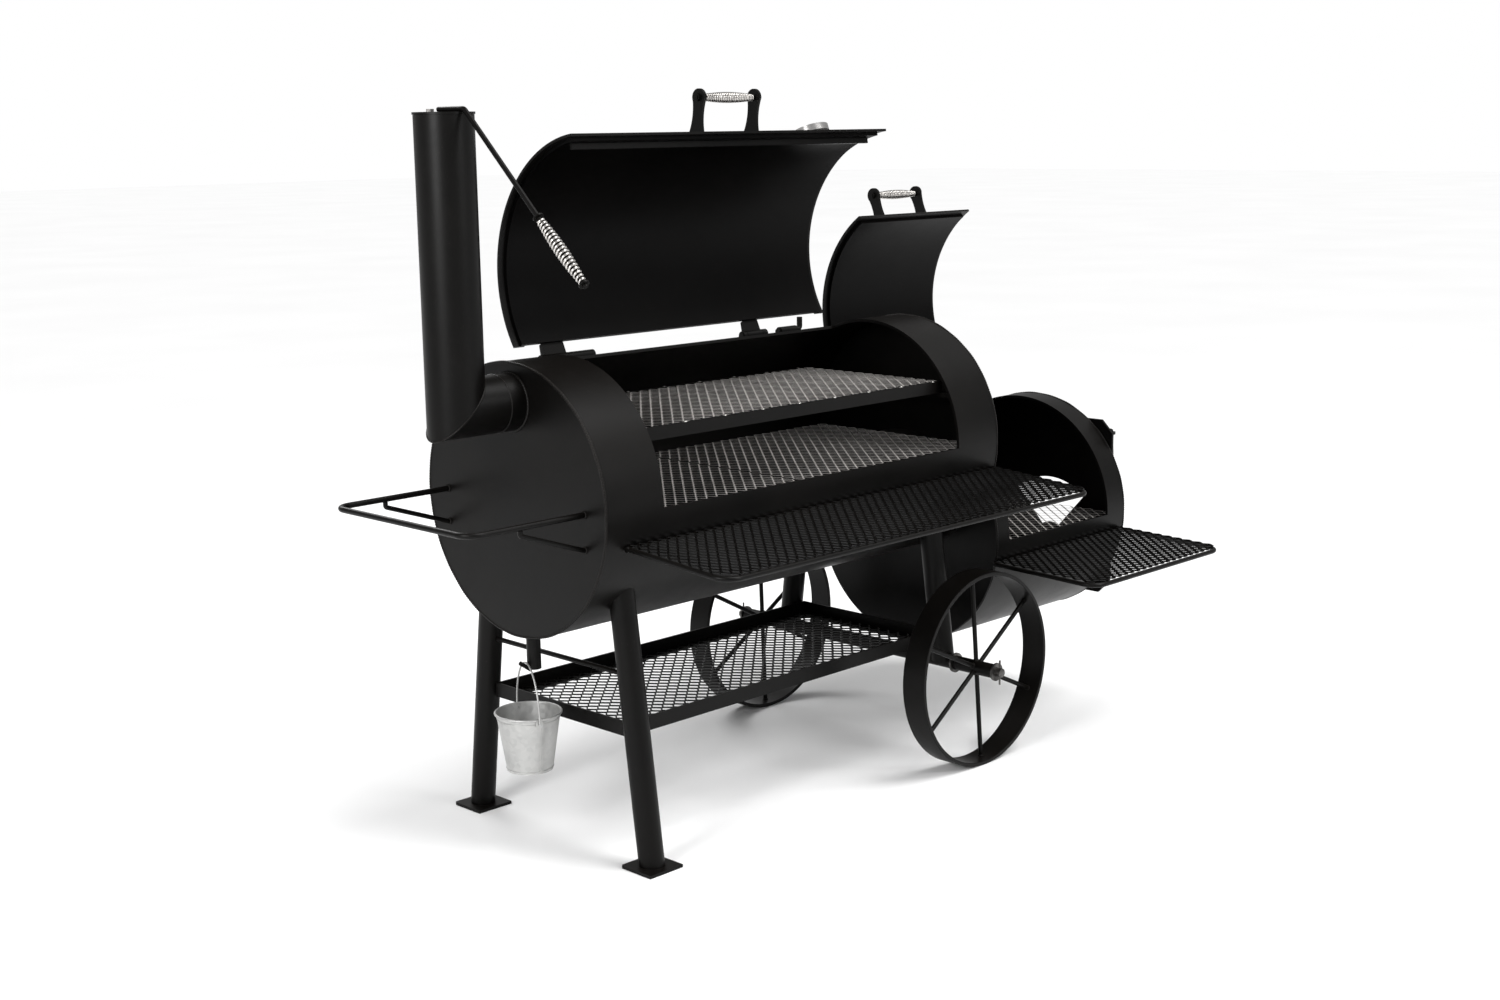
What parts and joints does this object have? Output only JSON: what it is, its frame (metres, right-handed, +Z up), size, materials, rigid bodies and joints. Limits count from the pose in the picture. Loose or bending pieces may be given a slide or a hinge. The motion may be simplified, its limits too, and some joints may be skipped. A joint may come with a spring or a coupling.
{
  "type": "offset smoker",
  "caption": "Offset smoker: pipe cooking chamber with an open lid, lower side firebox, elbow chimney, mesh shelves, splayed legs and spoked wheels.",
  "frame": {"origin": "centre of the overall box on the floor", "axes": "+X from the chimney end to the firebox end, -Y to the working side, +Z up"},
  "size_m": [1.9104, 0.9028, 1.3982],
  "materials": {
    "black_paint": "satin heat-proof black paint",
    "chrome_spring": "bright coil spring",
    "grate_steel": "bare expanded steel, lightly oiled",
    "axle_steel": "bare turned steel",
    "gauge_case": "stainless case",
    "gauge_dial": "white dial face",
    "galvanised": "galvanised sheet, dull spangle"
  },
  "bodies": {
    "smoker": {"axle": "axle_steel", "axle_tube": "black_paint", "baffle": "black_paint", "chimney": "black_paint", "cooker_cap_left": "black_paint", "cooker_cap_right": "black_paint", "cooker_shell": "black_paint", "cooking_grate_left": "grate_steel", "cooking_grate_right": "grate_steel", "damper_bolt": "axle_steel", "door_ears": "black_paint", "drain_pipe": "black_paint", "firebox_grate": "grate_steel", "firebox_plate_left": "black_paint", "firebox_plate_right": "black_paint", "firebox_shelf_frame": "black_paint", "firebox_shelf_mesh": "black_paint", "firebox_shell": "black_paint", "foot_plates": "black_paint", "front_shelf_frame": "black_paint", "front_shelf_mesh": "black_paint", "grate_ledges": "black_paint", "hinge_lugs": "black_paint", "hinge_pins": "black_paint", "legs_left": "black_paint", "legs_right": "black_paint", "lower_shelf_frame": "black_paint", "lower_shelf_mesh": "black_paint", "push_handle": "black_paint", "upper_grate": "grate_steel", "upper_grate_bars": "black_paint"},
    "main_lid": {"main_lid_shell": "black_paint", "main_lid_strips": "black_paint", "main_lid_lip": "black_paint", "main_lid_straps": "black_paint", "main_handle": "black_paint", "main_handle_grip": "chrome_spring", "thermometer_case": "gauge_case", "thermometer_dial": "gauge_dial"},
    "firebox_lid": {"firebox_lid_shell": "black_paint", "firebox_lid_strips": "black_paint", "firebox_lid_straps": "black_paint", "firebox_handle": "black_paint", "firebox_handle_grip": "chrome_spring"},
    "door": {"firebox_door": "black_paint", "door_handle": "black_paint", "door_handle_grip": "chrome_spring", "shutter_bolt": "axle_steel"},
    "shutter": {"air_shutter": "black_paint"},
    "stack_damper": {"damper_plate": "black_paint", "damper_rod": "black_paint", "damper_grip": "chrome_spring"},
    "front_wheel": {"wheel_rim_front": "black_paint", "wheel_spokes_front": "black_paint"},
    "rear_wheel": {"wheel_rim_rear": "black_paint", "wheel_spokes_rear": "black_paint"},
    "bail": {"bucket_bail": "galvanised"},
    "pail": {"bucket": "galvanised"}
  },
  "joints": [
    {"name": "main_lid_hinge", "type": "hinge", "parent": "smoker", "child": "main_lid", "pos_m": [-0.44975, 0.19942, 0.894], "axis": [1, 0, 0], "range_deg": [0, 100]},
    {"name": "firebox_lid_hinge", "type": "hinge", "parent": "smoker", "child": "firebox_lid", "pos_m": [0.63725, 0.19942, 0.67], "axis": [1, 0, 0], "range_deg": [0, 127]},
    {"name": "door_hinge", "type": "hinge", "parent": "smoker", "child": "door", "pos_m": [0.90025, 0.29442, 0.439], "axis": [0, 0, 1], "range_deg": [0, 110]},
    {"name": "shutter_pivot", "type": "hinge", "parent": "door", "child": "shutter", "pos_m": [0.90005, 0.02942, 0.35], "axis": [1, 0, 0], "range_deg": [-90, 0]},
    {"name": "stack_damper_pivot", "type": "hinge", "parent": "smoker", "child": "stack_damper", "pos_m": [-0.81775, 0.10942, 1.354], "axis": [0, 0, 1], "range_deg": [-110, 25]},
    {"name": "front_wheel_spin", "type": "hinge", "parent": "smoker", "child": "front_wheel", "pos_m": [0.26425, -0.24158, 0.206], "axis": [0, 1, 0], "continuous": true},
    {"name": "rear_wheel_spin", "type": "hinge", "parent": "smoker", "child": "rear_wheel", "pos_m": [0.26425, 0.38442, 0.206], "axis": [0, 1, 0], "continuous": true},
    {"name": "bail_on_hook", "type": "hinge", "parent": "smoker", "child": "bail", "pos_m": [-0.68175, 0.07142, 0.3475], "axis": [1, 0, 0], "range_deg": [-20, 20]},
    {"name": "pail_on_bail", "type": "hinge", "parent": "bail", "child": "pail", "pos_m": [-0.68175, 0.07142, 0.255], "axis": [0.3535, 0.9354, 0], "range_deg": [-30, 30]}
  ]
}
